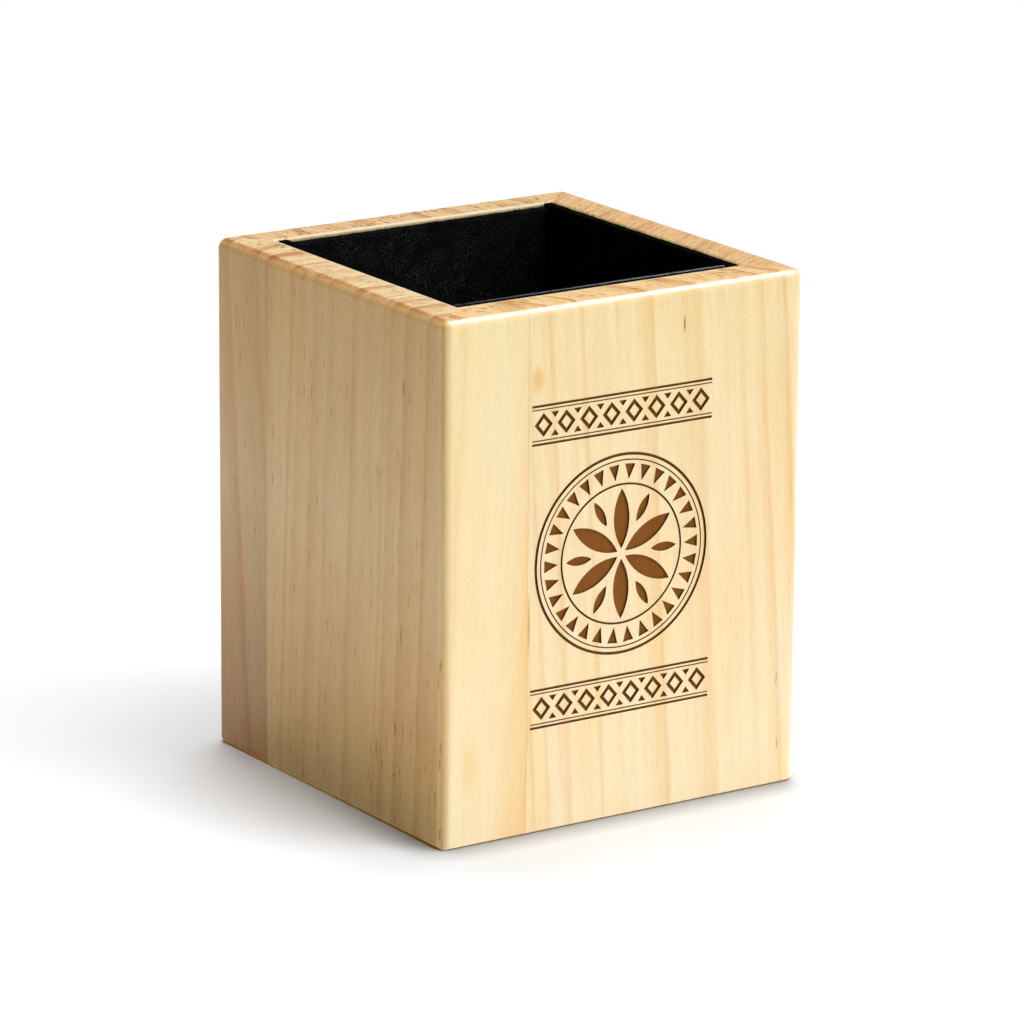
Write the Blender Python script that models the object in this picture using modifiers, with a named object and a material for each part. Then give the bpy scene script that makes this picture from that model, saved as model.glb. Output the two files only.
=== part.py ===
"""Square pine pen cup with a black felt lining.

Four mitred walls stand round a base board. Each wall is glued up from a narrow and a wide stave with
upright grain, so all four walls are the same board, turned a quarter turn from side to side. Five pieces
of felt line the inside.

Metres, +Z up. The origin is under the middle of the base, on the table, and the front wall faces -Y.
"""

import math

import bmesh
import bpy
from mathutils import Matrix, Vector

# Driving dimensions, in metres
OUTER_SIDE = 0.080  # the square plan, from outer face to outer face
HEIGHT = 0.100  # from the table to the rim
WALL = 0.0085  # thickness of the wall boards
EDGE_RADIUS = 0.0020  # round on every outer edge
NARROW_STAVE = 0.0185  # from a wall's left corner to its glue line, along the outer face
BASE_THICKNESS = 0.006
BASE_LAP = 0.004  # how far the base reaches under each wall, in the walls' rebate
FELT = 0.002  # thickness of the lining
LINING_DROP = 0.0004  # how far the lining's top edge lies below the rim
GLUE_GAP = 0.0003  # clearance at every glued face

EDGE_SEGMENTS = 6  # flats round each rounded edge
SMOOTH_BELOW = math.radians(30)  # faces that meet at less than this are shaded as one

# The walls in order, going round the cup a quarter turn at a time
SIDES = ("front", "right", "back", "left")

# Surfaces: colour as linear red, green and blue, then roughness
NARROW_PINE = ((0.80, 0.58, 0.30), 0.42)
WIDE_PINE = ((0.84, 0.63, 0.36), 0.42)
BASE_PINE = ((0.78, 0.57, 0.31), 0.50)
BLACK_FELT = ((0.008, 0.008, 0.009), 0.95)

# Sizes that follow from the driving ones
WELL_SIDE = OUTER_SIDE - 2 * WALL  # between the bare inner faces
SEAT_SIDE = WELL_SIDE + 2 * BASE_LAP  # the rebate that takes the base
FLOOR_TOP = BASE_THICKNESS + GLUE_GAP + FELT  # upper side of the felt on the floor
GLUE_LINE = NARROW_STAVE - OUTER_SIDE / 2  # x of the front wall's glue line
BEYOND = 2 * (OUTER_SIDE + HEIGHT)  # cutters reach this far, past every face


def clear_scene():
    for obj in list(bpy.data.objects):
        bpy.data.objects.remove(obj, do_unlink=True)


def new_collection(name):
    collection = bpy.data.collections.new(name)
    bpy.context.scene.collection.children.link(collection)
    return collection


def new_material(name, surface):
    colour, roughness = surface
    material = bpy.data.materials.new(name)
    material.use_nodes = True
    shader = material.node_tree.nodes["Principled BSDF"]
    shader.inputs["Base Color"].default_value = (*colour, 1.0)
    shader.inputs["Roughness"].default_value = roughness
    shader.inputs["Metallic"].default_value = 0.0
    return material


def box_mesh(name, low, high):
    """A box between two opposite corners."""
    low, high = Vector(low), Vector(high)
    place = Matrix.Translation((low + high) / 2)
    size = Matrix.Diagonal((*(high - low), 1.0))
    shape = bmesh.new()
    bmesh.ops.create_cube(shape, size=1.0, matrix=place @ size)
    mesh = bpy.data.meshes.new(name)
    shape.to_mesh(mesh)
    shape.free()
    return mesh


def add_part(name, mesh, surface):
    obj = bpy.data.objects.new(name, mesh)
    mesh.materials.append(new_material(name, surface))
    parts.objects.link(obj)
    return obj


def add_cutter(name, low, high):
    obj = bpy.data.objects.new(name, box_mesh(name, low, high))
    obj.hide_render = True
    obj.display_type = "WIRE"
    cutters.objects.link(obj)
    return obj


def cut(obj, cutter, operation="DIFFERENCE"):
    boolean = obj.modifiers.new(cutter.name, "BOOLEAN")
    boolean.operation = operation
    boolean.solver = "EXACT"
    boolean.object = cutter


def finished_mesh(obj):
    """The object's shape with its modifiers applied, as a mesh of its own."""
    bpy.context.view_layer.update()
    evaluated = obj.evaluated_get(bpy.context.evaluated_depsgraph_get())
    mesh = bpy.data.meshes.new_from_object(evaluated)
    mesh.shade_smooth()
    mesh.set_sharp_from_angle(angle=SMOOTH_BELOW)
    return mesh


def mitre_saw(name, turn):
    """A block with one face on the upright plane through the axis at this turn, half a glue gap short."""
    saw = add_cutter(name, (-GLUE_GAP / 2, -BEYOND, -BEYOND), (BEYOND, BEYOND, BEYOND))
    saw.rotation_euler.z = turn
    return saw


def rounded_block():
    """The whole cup's outer form: a block with every edge rounded."""
    half = OUTER_SIDE / 2
    block = bpy.data.objects.new("block", box_mesh("block", (-half, -half, 0), (half, half, HEIGHT)))
    cutters.objects.link(block)
    block.hide_render = True
    block.display_type = "WIRE"
    bevel = block.modifiers.new("rounded_edges", "BEVEL")
    bevel.width = EDGE_RADIUS
    bevel.segments = EDGE_SEGMENTS
    bevel.limit_method = "NONE"
    return block


def stave_mesh(from_x, to_x, mitre_turn):
    """One stave of the front wall: its length of the rounded block, mitred and rebated for the base."""
    inner_face = WALL - OUTER_SIDE / 2
    blank = add_cutter("stave_blank", (from_x, -BEYOND, -BEYOND), (to_x, inner_face, BEYOND))
    seat = SEAT_SIDE / 2
    rebate = add_cutter("base_rebate", (-seat, -seat, -BEYOND), (seat, seat, BASE_THICKNESS + GLUE_GAP))
    stave = rounded_block()
    cut(stave, blank, "INTERSECT")
    cut(stave, mitre_saw("mitre_saw", mitre_turn))
    cut(stave, rebate)
    return finished_mesh(stave)


def make_walls():
    narrow = stave_mesh(-BEYOND, GLUE_LINE - GLUE_GAP / 2, math.radians(135))
    wide = stave_mesh(GLUE_LINE + GLUE_GAP / 2, BEYOND, math.radians(45))
    for quarter, side in enumerate(SIDES):
        for width, mesh, surface in (("narrow", narrow, NARROW_PINE), ("wide", wide, WIDE_PINE)):
            stave = add_part(f"{side}_{width}_stave", mesh.copy(), surface)
            stave.rotation_euler.z = quarter * math.radians(90)


def make_base():
    half = SEAT_SIDE / 2 - GLUE_GAP
    mesh = box_mesh("base_board", (-half, -half, 0), (half, half, BASE_THICKNESS))
    add_part("base_board", mesh, BASE_PINE)


def make_lining():
    """The floor felt lies on the base and carries the wall felts. Left and right run the full depth."""
    felt_outside = WELL_SIDE / 2 - GLUE_GAP
    felt_inside = felt_outside - FELT
    between = felt_inside - GLUE_GAP
    floor_bottom = FLOOR_TOP - FELT
    bottom = FLOOR_TOP + GLUE_GAP
    top = HEIGHT - LINING_DROP
    pieces = {
        "floor_felt": ((-felt_outside, -felt_outside, floor_bottom), (felt_outside, felt_outside, FLOOR_TOP)),
        "left_felt": ((-felt_outside, -felt_outside, bottom), (-felt_inside, felt_outside, top)),
        "right_felt": ((felt_inside, -felt_outside, bottom), (felt_outside, felt_outside, top)),
        "front_felt": ((-between, -felt_outside, bottom), (between, -felt_inside, top)),
        "back_felt": ((-between, felt_inside, bottom), (between, felt_outside, top)),
    }
    for name, (low, high) in pieces.items():
        add_part(name, box_mesh(name, low, high), BLACK_FELT)


clear_scene()
parts = new_collection("pen_cup")
cutters = new_collection("pen_cup_cutters")
make_walls()
make_base()
make_lining()
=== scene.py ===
"""The looks of a square pine pen cup with a black felt lining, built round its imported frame.

Metres, +Z up. Each wall is modelled as the front wall and then turned to its own side, so in a stave's own
coordinates x runs along the wall, y goes into it and z is up.
"""

import math
import random

import bmesh
import bpy
from mathutils import Matrix, Vector, noise


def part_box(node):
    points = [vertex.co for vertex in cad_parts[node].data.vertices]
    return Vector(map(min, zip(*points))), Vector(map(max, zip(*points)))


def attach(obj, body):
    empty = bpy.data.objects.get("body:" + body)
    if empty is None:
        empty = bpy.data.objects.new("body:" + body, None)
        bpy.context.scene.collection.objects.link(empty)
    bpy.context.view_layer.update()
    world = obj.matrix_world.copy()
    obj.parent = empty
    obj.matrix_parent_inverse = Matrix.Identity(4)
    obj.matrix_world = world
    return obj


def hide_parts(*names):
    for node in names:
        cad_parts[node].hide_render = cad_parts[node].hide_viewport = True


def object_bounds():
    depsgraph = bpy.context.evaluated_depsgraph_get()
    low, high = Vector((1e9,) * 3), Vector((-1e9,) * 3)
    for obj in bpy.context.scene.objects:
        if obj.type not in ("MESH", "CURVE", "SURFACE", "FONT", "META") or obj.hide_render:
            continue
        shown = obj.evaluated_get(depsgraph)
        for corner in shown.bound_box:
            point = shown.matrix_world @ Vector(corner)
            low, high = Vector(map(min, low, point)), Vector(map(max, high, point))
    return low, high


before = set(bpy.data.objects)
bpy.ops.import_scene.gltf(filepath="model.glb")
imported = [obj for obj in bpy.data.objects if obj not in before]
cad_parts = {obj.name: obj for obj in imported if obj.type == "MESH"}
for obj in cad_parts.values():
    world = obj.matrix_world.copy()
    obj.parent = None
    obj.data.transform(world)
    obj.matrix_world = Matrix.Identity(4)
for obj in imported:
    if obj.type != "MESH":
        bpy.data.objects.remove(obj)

MM = 0.001
QUARTER_TURN = math.radians(90)

# Sizes that the frame gives
cad_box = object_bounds()
HALF = cad_box[1].x  # from the cup's axis to an outer face
RIM = cad_box[1].z
RIM_MM = RIM / MM
WELL_HALF = -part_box("front_wide_stave")[1].y  # from the axis to a wall's bare inner face
GLUE_LINE = (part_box("front_narrow_stave")[1].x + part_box("front_wide_stave")[0].x) / 2
BASE_LOW, BASE_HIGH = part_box("base_board")
SIDES = ("front", "right", "back", "left")  # a quarter turn apart, going round the cup

# Staves and base
EDGE_RADIUS = 2.0 * MM  # round on the outer edges
FOOT_ROUND = 0.5  # share of that round on the edges at the foot
EDGE_FLATS = 12
ARRIS, ARRIS_RIGHT = 0.55 * MM, 0.25 * MM  # round where the rim meets the well, slighter on the right
ARRIS_FLATS = 5
JOINT, MITRE = 0.04 * MM, 0.012 * MM  # what shows of a glue line and of a mitre
SEAT_GAP = 0.15 * MM  # between the base board and the walls' rebate
BASE_EASE, BASE_EASE_FLATS = 0.4 * MM, 3  # eased edges of the base board
BEYOND = 0.2  # cutters reach this far, past every face
INSIDE = 5 * MM  # how far past the inner face a stave's plan reaches, into the empty well
SHARP_FROM = math.radians(35)  # faces that meet at more than this keep a sharp edge

# Engraving, in the front wall's plane
ENGRAVED_DEPTH = 0.35 * MM
ENGRAVED_X = -0.8 * MM  # the rosette's middle
ENGRAVED_Z = 51 * MM
CIRCLE_STEPS = 96
ARC_STEPS = 10
ROSETTE_RINGS = ((19.0 * MM, 0.55 * MM), (17.9 * MM, 0.25 * MM), (13.3 * MM, 0.40 * MM))  # radius and line
PETALS = 6
PETAL = (1.0 * MM, 12.5 * MM, 1.75 * MM)  # from, to, and half width
LEAF = (6.6 * MM, 12.3 * MM, 0.85 * MM)  # the slim leaves between the petals
RAYS = 30
RAY = (14.1 * MM, 17.1 * MM, 1.15 * MM)  # from, to, and half width at the wide end
BORDER_RISE = 27 * MM  # from the rosette's middle to a border's middle
BORDER_HALF = 20 * MM
BORDER_RULES = ((3.6 * MM, 0.45 * MM), (2.9 * MM, 0.22 * MM))  # distance from its middle, and line width
LOZENGES = 8
LOZENGE = (2.0 * MM, 2.25 * MM)  # half width and half height
LOZENGE_HOLE = 0.55  # share of the lozenge that stays uncut in its middle
DART = (0.85 * MM, 1.1 * MM)  # the small triangles between lozenges: half width and height

# Lining: which way each felt faces, and how far its top edge lies below the frame's felt at its left or
# front end and at its right or back end
LINING = {
    "floor_felt": (Vector((0, 0, 1)), (0.0, 0.0)),
    "left_felt": (Vector((1, 0, 0)), (-0.32 * MM, -0.32 * MM)),
    "right_felt": (Vector((-1, 0, 0)), (-0.38 * MM, -0.38 * MM)),
    "front_felt": (Vector((0, 1, 0)), (-0.34 * MM, -0.34 * MM)),
    "back_felt": (Vector((0, -1, 0)), (0.25 * MM, 0.15 * MM)),
}
FELT_CORNER, FELT_CORNER_LIFT = 4 * MM, 0.05 * MM  # the stretch that stands proud at the back corners
FELT_PITCH = 2.0 * MM
FELT_EDGE = 0.35 * MM
FELT_SWAY = 0.2 * MM  # how far the face of the felt swells and sinks
FELT_SWAY_SPAN = 9 * MM
FELT_FRAY = 0.14 * MM  # how uneven its cut top edge is
FELT_FRAY_SPAN = 2.2 * MM
FELT_TOP_BAND = 5 * MM  # the stretch below the top edge that the fray reaches
FIBRES_PER_MM = 9  # along a top edge
FIBRES_PER_SQUARE_MM = 0.12  # on a face
FIBRE_REACH = (0.2 * MM, 0.75 * MM)  # shortest and longest
FIBRE_THICKNESS = (0.015 * MM, 0.045 * MM)  # half of it, at the root
FIBRE_TAPER = ((-0.2, 1.0), (0.5, 0.8), (1.0, 0.15))  # along its reach, and what is left of its thickness
FIBRE_BEND = 0.35  # share of its reach
FIBRE_SIDES = 3
FACE_STAND = 0.5  # how far fibres stand out of the face
EDGE_STAND, EDGE_SPREAD, EDGE_LIFT = (0, 0.8), 0.6, (0.1, 0.9)  # at the cut edge: out, aside and up

# The boards. rings: where the dark late wood of each growth ring ends, in mm from the wall's left edge at mid
# height, and how dark it is. grows: the way that the rings grow along the wall. lean and slant: how far they
# shift to the right for each mm down, and to the left for each mm into the wall. pale, dark and end: early
# wood, late wood and end grain. tint_and_light_by_height: tints from the foot to the top, partly the board's
# own tone and partly painted light and shade. canals, pores and grit: how strongly those show. marks: single
# strokes and patches, each with its place along the wall and up, half its width and length in mm, how
# strongly it shows, and its colour. Some boards have their own tint on the rounded ends, or an arris that
# is neither bare nor painted with a highlight.
BOARDS = {
    # The front boards' tints up the wall grow paler towards the foot: painted light.
    "front_narrow": dict(
        rings=((-3, 0.8), (3, 0.9), (7.8, 0.35), (21, 1.3), (27, 0.9)),
        grows=1, lean=-0.045, slant=0.3, pale="#F0E0B9", dark="#ECD09E", end="#F0CD8E",
        tint_and_light_by_height=("#FFFCF8", "#FFF8F0", "#FFFBF4", "#FFFCEF"), canals=0.1, pores=0.8, grit=0.6, seed=3.1,
        marks=((-33.9, 15.2, 2.6, 6.0, 0.5, "#EBC67E"),)),
    "front_wide": dict(
        rings=((14, 0.6), (17.5, 0.9), (21, 0.8), (26, 0.95), (30.6, 0.6), (33.1, 1), (37.9, 0.55),
               (40.3, 0.5), (48, 0.95), (59.1, 0.9), (64.7, 0.4), (68.8, 0.75), (73.5, 0.95), (78.5, 1),
               (86, 0.8)),
        grows=1, lean=0.06, slant=0.45, pale="#F0E2BC", dark="#E9CE9B", end="#F0CD8E",
        tint_and_light_by_height=("#FFFAFA", "#FFF7F2", "#FEF4EB", "#FEF6E4"), canals=0.15, pores=0.8, grit=0.8, seed=7.7,
        marks=((12.8, 92.8, 0.24, 2.0, 0.9, "#5E3C1A"), (-21.2, 40.5, 0.35, 7.0, 0.6, "#B98238"),
               (-19.6, 86.6, 1.8, 3.4, 0.8, "#E8BC78"), (35.2, 21.0, 0.22, 1.8, 0.7, "#B98A58"),
               (35.6, 8.0, 0.22, 1.6, 0.7, "#B98A58"))),
    # The two left boards' deeper, more orange wood, their tints up the wall and their tint on the rounded
    # ends are partly their own colour and partly painted shade: that wall faces away from the lamps.
    "left_narrow": dict(
        rings=((-6, 0.5), (1, 0.5), (8.6, 1), (19.5, 0.9), (26, 0.8)),
        grows=1, lean=0.08, slant=0.3, pale="#EDCA88", dark="#E5AF5C", end="#ECD19E", edge="#E4AE6A",
        tint_and_light_by_height=("#EAC55A", "#E4CD92", "#FCF6F6", "#F2E2B0"), canals=0.75, pores=1.0, grit=2.2, seed=1.3,
        marks=((-28.0, 22.0, 0.25, 2.0, 0.7, "#B57838"),)),
    "left_wide": dict(
        rings=((17.5, 1.1), (22, 0.5), (25.6, 1), (28.3, 0.7), (33.6, 0.8), (38.8, 0.7), (47.9, 1),
               (52.5, 0.5), (58.3, 0.8), (60.2, 0.9), (65.2, 1), (72.9, 1), (77.5, 0.6), (86, 0.7)),
        grows=-1, lean=-0.045, slant=-0.07, pale="#F8D694", dark="#EDBC6D", end="#ECD19E", edge="#E4AE6A",
        tint_and_light_by_height=("#FFF3C0", "#FFE9B8", "#FFFBF6", "#F1E0B6"), canals=0.85, pores=0.5, grit=1.9, seed=5.9,
        marks=((26.7, 84.9, 0.36, 2.2, 0.9, "#B47628"), (26.0, 38.0, 0.34, 3.0, 0.8, "#BC7C2C"),
               (17.5, 14.0, 0.34, 3.2, 0.9, "#BC7C2C"), (24.0, 19.5, 0.36, 2.0, 0.9, "#C0742C"),
               (23.6, 10.4, 0.5, 0.8, 0.8, "#A5692C"))),
    # The right boards have no bare arris and none of its painted highlight.
    "right_narrow": dict(
        rings=((-4, 0.45), (4, 0.45), (9.8, 0.6), (15.5, 0.4), (21, 0.7), (27, 0.45)),
        grows=-1, lean=0.03, slant=0.6, pale="#F2DDB3", dark="#EACB97", end="#E1B87C", arris=0.0,
        tint_and_light_by_height=("#FFFCF8", "#FFFDFA", "#FFFFFF", "#FDF8EE"), canals=0.5, pores=0.5, grit=1.0, seed=9.2,
        marks=((-29.0, 61.0, 0.25, 2.4, 0.6, "#B98A58"),)),
    "right_wide": dict(
        rings=((11, 0.4), (15, 0.45), (20.6, 0.6), (25.2, 0.4), (31.8, 0.7), (38.1, 0.5), (43, 0.4),
               (50.7, 0.75), (56, 0.45), (63.4, 0.7), (69.5, 0.5), (74, 0.6), (80.5, 0.7), (88, 0.5)),
        grows=1, lean=0.035, slant=0.7, pale="#F2DCB3", dark="#E9C998", end="#E1B87C", arris=0.0,
        tint_and_light_by_height=("#FFFFFF", "#FFFDF9", "#FEFBF3", "#FCF6EA"), canals=0.5, pores=0.45, grit=1.0, seed=2.6,
        marks=((7.5, 24.0, 0.25, 3.0, 0.7, "#B98A58"), (28.0, 70.0, 0.3, 2.0, 0.6, "#B57838"))),
    "back_narrow": dict(
        rings=((-4, 0.6), (2, 0.7), (6.9, 0.5), (13.7, 0.9), (20, 0.7), (27, 0.8)),
        grows=1, lean=-0.02, slant=0.1, pale="#F1DAAE", dark="#E8C793", end="#E5C18A",
        tint_and_light_by_height=("#FFFFFF", "#FFFEFC", "#FEFBF4", "#FCF7EB"), canals=0.6, pores=1.0, grit=1.2, seed=4.4,
        marks=((-31.0, 35.0, 0.25, 2.0, 0.6, "#B98A58"),)),
    "back_wide": dict(
        rings=((14, 0.5), (20.4, 0.9), (27.3, 0.6), (32, 0.8), (39.6, 1), (45.2, 0.5), (51.9, 0.8),
               (58.8, 0.7), (66.1, 1), (71, 0.5), (77.2, 0.9), (83, 0.8), (90, 0.6)),
        grows=-1, lean=0.05, slant=0.15, pale="#F3DCB3", dark="#EBCC9A", end="#E5C18A",
        tint_and_light_by_height=("#FDF9F0", "#FEFCF7", "#FFFFFF", "#FDF8EE"), canals=0.6, pores=1.0, grit=1.2, seed=8.5,
        marks=((-9.0, 78.0, 0.28, 2.6, 0.7, "#B57838"), (19.0, 30.0, 0.25, 2.2, 0.6, "#B98A58"))),
    "base": dict(
        rings=((-2, 0.6), (5.1, 0.8), (11.6, 0.6), (19, 1), (25.7, 0.6), (34.2, 0.9), (41, 0.7), (49.3, 1),
               (57.2, 0.6), (64.4, 0.9), (72, 0.7), (81, 0.8), (88, 0.7)),
        grows=1, lean=0.03, slant=0.4, pale="#EFD6A8", dark="#E0BC86", end="#E4C083",
        tint_and_light_by_height=("#FFFFFF", "#FEFBF6", "#FDF9F0", "#FFFDF8"), canals=0.8, pores=0.4, grit=1.6, seed=6.3,
        marks=((11.0, -12.0, 0.25, 2.6, 0.6, "#B57838"),)),
}

# Pine, with its sizes in mm. WHERE is the span of a noise over which something sets in, and FACING the span
# of how far up the surface faces.
TINT_AND_LIGHT_AT = (0.05, 0.2, 0.55, 0.95)  # shares of the height
RING_FROM, RING_SPAN = -10, 110  # the stretch that the ring ramp covers
RING_EDGE = 0.9  # over which a ring's late wood gives way to the next ring's early wood
RING_WANDER, RING_WANDER_WIDTH, RING_WANDER_LENGTH = 2.2, 16, 70  # how far the rings wander, and over what
RING_FRAY = 1.4  # by which fibres fray a ring's edge
LATE_WOOD_CURVE = 2.0  # keeps most of a ring's darkness near its end
LINE_SPACING, LINE_WANDER, LINE_SHADE = 1.7, 2.6, 0.14  # the fine lines in a ring
FIBRE_WIDTH, FIBRE_LENGTH, FIBRE_SHADE = 0.24, 5, 0.8  # real ones are ten times finer: drawn coarser to show
FLECK_WIDTH, FLECK_LENGTH, FLECK_SHADE = 1.1, 22, 0.6
TOOTH, TOOTH_SHADE = 0.3, 1.85  # what the sandpaper leaves: drawn coarser than the grit to show
GRIT_TINT = "#F6EDE2"
TONE_WIDTH, TONE_LENGTH = 9, 45
HONEY_TINT, HONEY_WHERE = "#FFFAED", (0.45, 0.65)
BLUSH_WIDTH, BLUSH_LENGTH, BLUSH_SHADE = 3.0, 26, 0.12  # reddish streaks
BLUSH_TINT, BLUSH_WHERE = "#EFCDB4", (0.52, 0.7)
CANAL_CELL, CANAL_WHERE = (1.3, 9), (0.5, 0.63)  # what a resin canal has to itself
CANAL_CORE, CANAL_RADIUS = 0.03, 0.19  # shares of the cell
CANAL_BROWN = "#BC7C2C"
MARK_CORE = 0.3  # share of a mark that shows in full
SOAKED_WIDTH, SOAKED_LENGTH, SOAKED_DEPTH = 0.7, 7, 0.5  # below the rim, where the ends drank the finish
SOAKED_TINT, SOAKED_WHERE = "#F6E0BE", (0.5, 0.7)
TOP_FACING, FOOT_FACING, PORE_FACING = (0.5, 0.95), (-0.9, -0.99), (0.95, 0.995)
END_DARK_TINT = "#CEA266"
END_MOTTLE_WIDTH, END_MOTTLE_LENGTH = 0.4, 5
END_LATE, END_LINE, END_MOTTLE = 0.9, 0.3, 1.8  # how rings, fine lines and a mottle show in the end grain
PORE_CELL, PORE_WHERE = (1.1, 4.0), (0.42, 0.58)  # what a pore has to itself
PORE_CORE, PORE_RADIUS = 0.13, 0.21  # shares of the cell
PORE_BROWN = "#74481F"
PORE_CLUSTER = 9
EDGE_TINT = "#E4CFA6"  # rounded ends, sanded through in dabs
EDGE_DAB, EDGE_DAB_LEAST, EDGE_DAB_WHERE = 3.5, 0.5, (0.4, 0.6)
EDGE_RISE, EDGE_FALL = (0.66, 0.9), (0.94, 0.998)  # how far up the surface faces where dabs set in and end
# The left uprights' warm line is partly the finish and partly painted shade.
UPRIGHT_TINT, UPRIGHT_TINT_SHARE = "#FFF5DC", 0.8
UPRIGHT_RISE, UPRIGHT_FALL = (0.25, 0.6), (0.75, 0.95)  # how far to the left the surface faces there
ARRIS_TINT_AND_HIGHLIGHT, ARRIS_WEAR, ARRIS_DEPTH = "#DDC79C", 0.4, (2, 1)  # bare wood, partly a painted highlight, beside the well and below the rim
LACQUER_ROUGHNESS, BARE_ROUGHNESS = 0.28, 0.55
END_DULLNESS, FIBRE_DULLNESS, ARRIS_DULLNESS = 0.12, 0.1, 0.35
GRAIN_RELIEF, GRAIN_RELIEF_STRENGTH = 0.02 * MM, 0.35
DASH_RELIEF = -0.2  # how deep canals and pores lie beside the fibres' relief
LACQUER_IOR, SHINE = 1.5, 0.5  # the shader's usual shine

# Burnt pine
BURNT_DARK, BURNT_LIGHT, BURNT_AT = "#7A4717", "#87521F", (0.35, 0.85)
CHARRED_AND_SHADED, CHARRED_AND_SHADED_FACING = "#3E220C", (-0.9, -0.3)  # the cut's sides, partly charred and partly painted shade: from its floor, which faces out, to its sides
BEAM_PASS = 0.25  # mm between the beam's passes: real ones are a third of that, drawn coarser to show
BEAM_WAVER, BEAM_SHADE = 0.6, 0.3
WAVE_LENGTH = 0.314  # of a wave texture at scale 1
BURNT_SEED = 2.0
BURNT_ROUGHNESS, BURNT_SHINE, BURNT_RELIEF_STRENGTH = 0.85, 0.15, 0.5

# Felt, with its sizes in mm
FELT_BLACK, FELT_GREY, FELT_GLINT, FELT_EDGE_HIGHLIGHT = "#070707", "#1C1C1D", "#4C4C4E", "#86868A"
FELT_AT = (0.4, 0.6, 0.72)  # where black, grey and glint lie in the tangle's noise
FELT_FIBRE, FELT_MAT = 0.24, 4.0  # a tangle of fibres, drawn coarser than single ones, and a matted patch
MAT_WHERE, MAT_LEAST, MAT_RELIEF = (0.3, 0.6), 0.3, 0.6
EDGE_HIGHLIGHT_ALONG = (-45, 15), (28.8, 29.2)  # along the front: a painted highlight, a grey line where the felt's top edge catches the light
EDGE_HIGHLIGHT_ACROSS = (-30.5, -30.3), (-29.8, -29.6)  # the highlight runs along the edge's inner side
EDGE_HIGHLIGHT_UP = (-2.0, -1.0), (0.05, 0.15)  # from the rim
CUT_EDGE_SHADE, CUT_DEPTH = 0.25, (0.9, 0.3)  # painted shade: how bright the cut edge at the rim is beside the face, and where it sets in
FELT_LIGHT_REACH, FELT_DEEP_LIGHT = 35, 3.2  # painted light: how far below the rim the felt is drawn brighter, and how much brighter it is there
FELT_RELIEF, FELT_RELIEF_STRENGTH = 0.25 * MM, 0.8
FELT_ROUGHNESS, FELT_SHINE = 0.95, 0.01

# Studio
CAMERA_TURN = math.radians(-33.68)  # round the cup, from straight in front towards its left
CAMERA_RISE = math.radians(15.62)
CAMERA_ROLL = math.radians(0.42)
CAMERA_PLACE = Vector((1.66 * MM, 47.55 * MM, 1139.9 * MM))  # right, up and back of the base, as it faces
LENS = 208.4  # for a sensor 36 mm wide
SENSOR = 36
FLOOR_HALF = 0.55
FLOOR_WHITE, FLOOR_BOUNCE = "#F7FAFE", "#F4F4F4"  # to the camera, and for the light that it throws back
FOOT_BOUNCE = "#B2B2B2"  # the same beside the left foot: painted shade in the light that it throws back, which darkens the cup's foot
FOOT_FAR, FOOT_NEAR, FOOT_END = (50 * MM, 25 * MM), (8 * MM, 0.0), 15 * MM  # from the wall, and past its ends
CONTACT = 8 * MM  # how far the close shadow round the foot reaches
CONTACT_FROM, CONTACT_FULL = 15 * MM, -35 * MM  # it sets in towards the front, away from the back light
# Each lamp: the way to it, its light on a surface that faces it squarely, how many degrees wide it looks, and
# whether it lights the surfaces and gleams in them. Those from below stand for what the table throws back.
LAMPS = {
    "front": ((0.654, -0.727, 0.208), 0.705, 45, True, False),
    "overhead_front": ((0.150, -0.296, 0.943), 0.45, 32, True, False),
    "overhead_back": ((0.120, 0.250, 0.961), 0.62, 32, True, True),
    "gleam": ((0.52, -0.16, 0.84), 2.6, 30, False, True),
    "table": ((0.0, 0.0, -1.0), 0.24, 60, True, False),
    "table_gleam": ((-0.90, 0.33, -0.27), 0.48, 60, False, True),
    "wall_gleam": ((-0.60, 0.79, 0.12), 0.10, 50, False, True),
}
HORIZON, SKY, SKY_FROM = 0.5, 0.3, 0.3  # how bright the studio is in reflections, and where its sky starts

# Sockets and settings of a node that mixes two colours, or that tints one by another
MIX_A, MIX_B = 6, 7
MIXED = dict(data_type="RGBA", out=2)
TINTED = dict(data_type="RGBA", blend_type="MULTIPLY", out=2)


def hex_colour(code):
    """An sRGB hex colour as linear red, green, blue and alpha."""
    parts = [int(code[i:i + 2], 16) / 255 for i in (1, 3, 5)]
    linear = [part / 12.92 if part <= 0.04045 else ((part + 0.055) / 1.055) ** 2.4 for part in parts]
    return (*linear, 1.0)


def loft(shape, rings, closed=False):
    """Skins rings of points. An open loft is capped, and a closed one runs back into its start."""
    loops = [[shape.verts.new(point) for point in ring] for ring in rings]
    pairs = list(zip(loops, loops[1:]))
    if closed:
        pairs.append((loops[-1], loops[0]))
    else:
        shape.faces.new(loops[0])
        shape.faces.new(loops[-1])
    for here, there in pairs:
        for i, corner in enumerate(here):
            j = (i + 1) % len(here)
            shape.faces.new((corner, here[j], there[j], there[i]))


def mesh_of(shape, name):
    bmesh.ops.recalc_face_normals(shape, faces=shape.faces)
    mesh = bpy.data.meshes.new(name)
    shape.to_mesh(mesh)
    shape.free()
    return mesh


def place(name, mesh):
    piece = bpy.data.objects.new(name, mesh)
    bpy.context.scene.collection.objects.link(piece)
    return piece


def discard(*pieces):
    for piece in pieces:
        bpy.data.objects.remove(piece, do_unlink=True)


def cut(piece, cutter, operation="DIFFERENCE"):
    boolean = piece.modifiers.new(cutter.name, "BOOLEAN")
    boolean.operation = operation
    boolean.solver = "EXACT"
    boolean.material_mode = "TRANSFER"
    boolean.object = cutter


def shaped(piece):
    """The piece's mesh with its modifiers applied."""
    bpy.context.view_layer.update()
    return bpy.data.meshes.new_from_object(piece.evaluated_get(bpy.context.evaluated_depsgraph_get()))


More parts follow.
